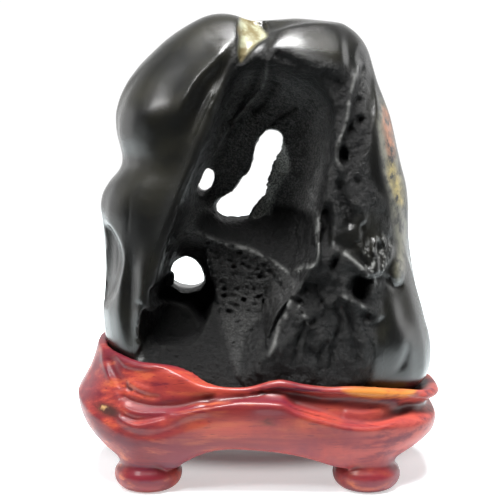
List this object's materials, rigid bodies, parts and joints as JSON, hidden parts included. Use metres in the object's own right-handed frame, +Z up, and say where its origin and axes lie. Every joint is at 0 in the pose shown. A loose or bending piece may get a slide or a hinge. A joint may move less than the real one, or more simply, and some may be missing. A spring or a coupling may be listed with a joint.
{
  "type": "scholar's rock on stand",
  "caption": "Upright black viewing stone with a pierced cave in its front, resting in a low carved red-brown wooden stand on pad feet.",
  "frame": {"origin": "on the table, under the middle of the stand's footprint", "axes": "+Z up, +X to the right along the stand's long side, -Y towards the viewer, on the side the cave opens to"},
  "size_m": [0.174, 0.096, 0.2194],
  "materials": {
    "black_stone": "satin",
    "red_wood": "satin"
  },
  "bodies": {
    "root": {"stone": "black_stone", "stand": "red_wood"}
  },
  "joints": []
}
